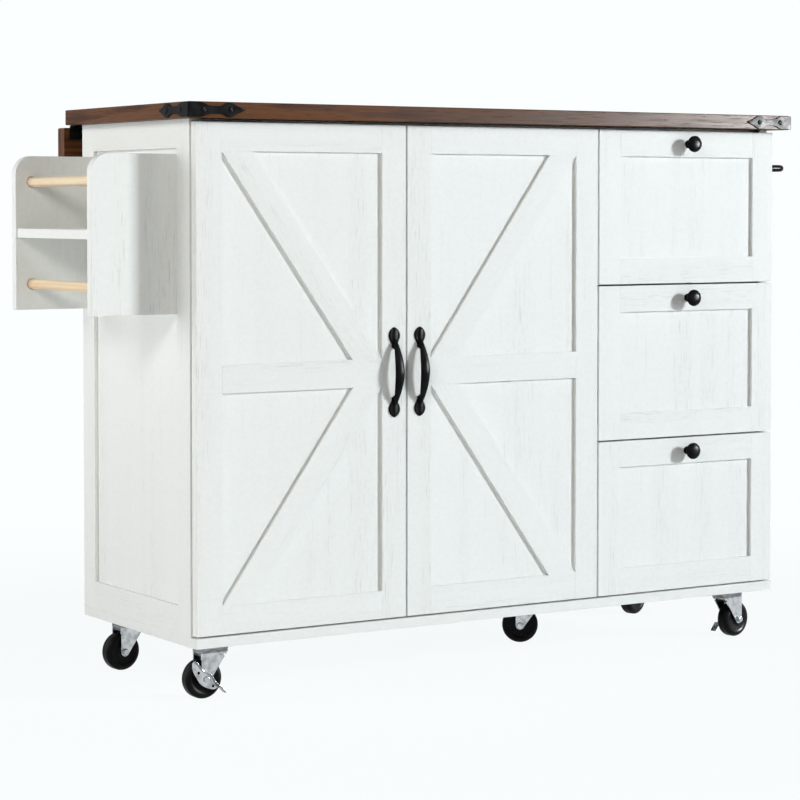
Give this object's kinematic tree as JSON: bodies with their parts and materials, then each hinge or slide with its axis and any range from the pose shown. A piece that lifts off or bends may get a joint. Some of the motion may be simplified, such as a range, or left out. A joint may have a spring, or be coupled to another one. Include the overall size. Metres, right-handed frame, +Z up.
{
  "type": "drop leaf kitchen island",
  "caption": "Kitchen island on casters with a cabinet, drawers, a drop leaf behind the worktop, a side rack and a towel rail.",
  "frame": {"origin": "middle of the whole object's footprint, on the floor that the wheels stand on", "axes": "+X from the spice rack's end to the towel rail's end, along the worktop; +Y from the doors to the drop leaf at the back; +Z up"},
  "size_m": [1.372, 0.482, 0.935],
  "materials": {
    "whitewash": "whitewashed fir, satin, with a faint open grain",
    "walnut": "dark walnut stained wood, satin lacquer",
    "dowel": "clear lacquered pine",
    "box_wood": "plain plywood, clear sealed",
    "iron": "black, semi-matte",
    "steel": "zinc plated, satin",
    "rubber": "black, matte"
  },
  "bodies": {
    "cabinet": {"base_board": "whitewash", "side_panel_left": "whitewash", "side_panel_right": "whitewash", "partition": "whitewash", "back_panel": "whitewash", "top_stretcher": "whitewash", "cabinet_shelf": "whitewash", "worktop": "walnut", "corner_bracket_left": "iron", "corner_bracket_right": "iron", "rack_front_board": "whitewash", "rack_rear_board": "whitewash", "rack_shelf": "whitewash", "rack_dowel_upper": "dowel", "rack_dowel_lower": "dowel", "towel_rail": "iron", "leaf_hinge_fixed_half": "iron", "hinge_arm_left_lower": "steel", "hinge_arm_left_upper": "steel", "hinge_arm_right_lower": "steel", "hinge_arm_right_upper": "steel", "runner_left_lower": "steel", "runner_right_lower": "steel", "runner_left_middle": "steel", "runner_right_middle": "steel", "runner_left_upper": "steel", "runner_right_upper": "steel"},
    "leaf": {"drop_leaf": "walnut", "leaf_hinge_moving_half": "iron"},
    "stay_left": {"leaf_stay_left": "iron"},
    "stay_right": {"leaf_stay_right": "iron"},
    "door_left": {"door_left": "whitewash", "door_handle_left": "iron", "hinge_cup_left_lower": "steel", "hinge_cup_left_upper": "steel"},
    "door_right": {"door_right": "whitewash", "door_handle_right": "iron", "hinge_cup_right_lower": "steel", "hinge_cup_right_upper": "steel"},
    "drawer_lower": {"drawer_front_lower": "whitewash", "drawer_box_lower": "box_wood", "drawer_knob_lower": "iron"},
    "drawer_middle": {"drawer_front_middle": "whitewash", "drawer_box_middle": "box_wood", "drawer_knob_middle": "iron"},
    "drawer_upper": {"drawer_front_upper": "whitewash", "drawer_box_upper": "box_wood", "drawer_knob_upper": "iron"},
    "caster_front_left": {"caster_fork_front_left": "steel"},
    "wheel_front_left": {"caster_wheel_front_left": "rubber"},
    "brake_front_left": {"brake_lever_front_left": "steel"},
    "caster_front_right": {"caster_fork_front_right": "steel"},
    "wheel_front_right": {"caster_wheel_front_right": "rubber"},
    "brake_front_right": {"brake_lever_front_right": "steel"},
    "caster_rear_left": {"caster_fork_rear_left": "steel"},
    "wheel_rear_left": {"caster_wheel_rear_left": "rubber"},
    "caster_rear_right": {"caster_fork_rear_right": "steel"},
    "wheel_rear_right": {"caster_wheel_rear_right": "rubber"},
    "caster_middle": {"caster_fork_middle": "steel"},
    "wheel_middle": {"caster_wheel_middle": "rubber"}
  },
  "joints": [
    {"name": "leaf_lift", "type": "hinge", "parent": "cabinet", "child": "leaf", "pos_m": [0.04, 0.2125, 0.9065], "axis": [1, 0, 0], "range_deg": [0, 90]},
    {"name": "stay_left_swing", "type": "hinge", "parent": "cabinet", "child": "stay_left", "pos_m": [-0.25, 0.1985, 0.805], "axis": [1, 0, 0], "range_deg": [0, 121.3]},
    {"name": "stay_right_swing", "type": "hinge", "parent": "cabinet", "child": "stay_right", "pos_m": [0.33, 0.1985, 0.805], "axis": [1, 0, 0], "range_deg": [0, 121.3]},
    {"name": "door_left_swing", "type": "hinge", "parent": "cabinet", "child": "door_left", "pos_m": [-0.5375, -0.2155, 0.506], "axis": [0, 0, -1], "range_deg": [0, 90]},
    {"name": "door_right_swing", "type": "hinge", "parent": "cabinet", "child": "door_right", "pos_m": [0.23183, -0.2155, 0.506], "axis": [0, 0, 1], "range_deg": [0, 90]},
    {"name": "drawer_lower_slide", "type": "slide", "parent": "cabinet", "child": "drawer_lower", "axis": [0, -1, 0], "range_m": [0, 0.3]},
    {"name": "drawer_middle_slide", "type": "slide", "parent": "cabinet", "child": "drawer_middle", "axis": [0, -1, 0], "range_m": [0, 0.3]},
    {"name": "drawer_upper_slide", "type": "slide", "parent": "cabinet", "child": "drawer_upper", "axis": [0, -1, 0], "range_m": [0, 0.3]},
    {"name": "caster_front_left_swivel", "type": "hinge", "parent": "cabinet", "child": "caster_front_left", "pos_m": [-0.484, -0.1595, 0.08], "axis": [0, 0, 1], "continuous": true},
    {"name": "wheel_front_left_spin", "type": "hinge", "parent": "caster_front_left", "child": "wheel_front_left", "pos_m": [-0.501, -0.1595, 0.03173], "axis": [0, -1, 0], "continuous": true},
    {"name": "brake_front_left_press", "type": "hinge", "parent": "caster_front_left", "child": "brake_front_left", "pos_m": [-0.501, -0.1595, 0.03173], "axis": [0, -1, 0], "range_deg": [0, 20]},
    {"name": "caster_front_right_swivel", "type": "hinge", "parent": "cabinet", "child": "caster_front_right", "pos_m": [0.564, -0.1595, 0.08], "axis": [0, 0, 1], "continuous": true},
    {"name": "wheel_front_right_spin", "type": "hinge", "parent": "caster_front_right", "child": "wheel_front_right", "pos_m": [0.58074, -0.15655, 0.03173], "axis": [-0.1736, 0.9848, 0], "continuous": true},
    {"name": "brake_front_right_press", "type": "hinge", "parent": "caster_front_right", "child": "brake_front_right", "pos_m": [0.58074, -0.15655, 0.03173], "axis": [-0.1736, 0.9848, 0], "range_deg": [0, 20]},
    {"name": "caster_rear_left_swivel", "type": "hinge", "parent": "cabinet", "child": "caster_rear_left", "pos_m": [-0.484, 0.1315, 0.08], "axis": [0, 0, 1], "continuous": true},
    {"name": "wheel_rear_left_spin", "type": "hinge", "parent": "caster_rear_left", "child": "wheel_rear_left", "pos_m": [-0.50094, 0.13002, 0.03173], "axis": [0.0872, -0.9962, 0], "continuous": true},
    {"name": "caster_rear_right_swivel", "type": "hinge", "parent": "cabinet", "child": "caster_rear_right", "pos_m": [0.564, 0.1315, 0.08], "axis": [0, 0, 1], "continuous": true},
    {"name": "wheel_rear_right_spin", "type": "hinge", "parent": "caster_rear_right", "child": "wheel_rear_right", "pos_m": [0.57998, 0.13731, 0.03173], "axis": [-0.342, 0.9397, 0], "continuous": true},
    {"name": "caster_middle_swivel", "type": "hinge", "parent": "cabinet", "child": "caster_middle", "pos_m": [0.23333, -0.014, 0.08], "axis": [0, 0, 1], "continuous": true},
    {"name": "wheel_middle_spin", "type": "hinge", "parent": "caster_middle", "child": "wheel_middle", "pos_m": [0.21941, -0.00425, 0.03173], "axis": [-0.5736, -0.8192, 0], "continuous": true}
  ],
  "couplings": [
    {"joint": "stay_left_swing", "follows": "leaf_lift", "ratio": 1.3473},
    {"joint": "stay_right_swing", "follows": "leaf_lift", "ratio": 1.3473}
  ]
}
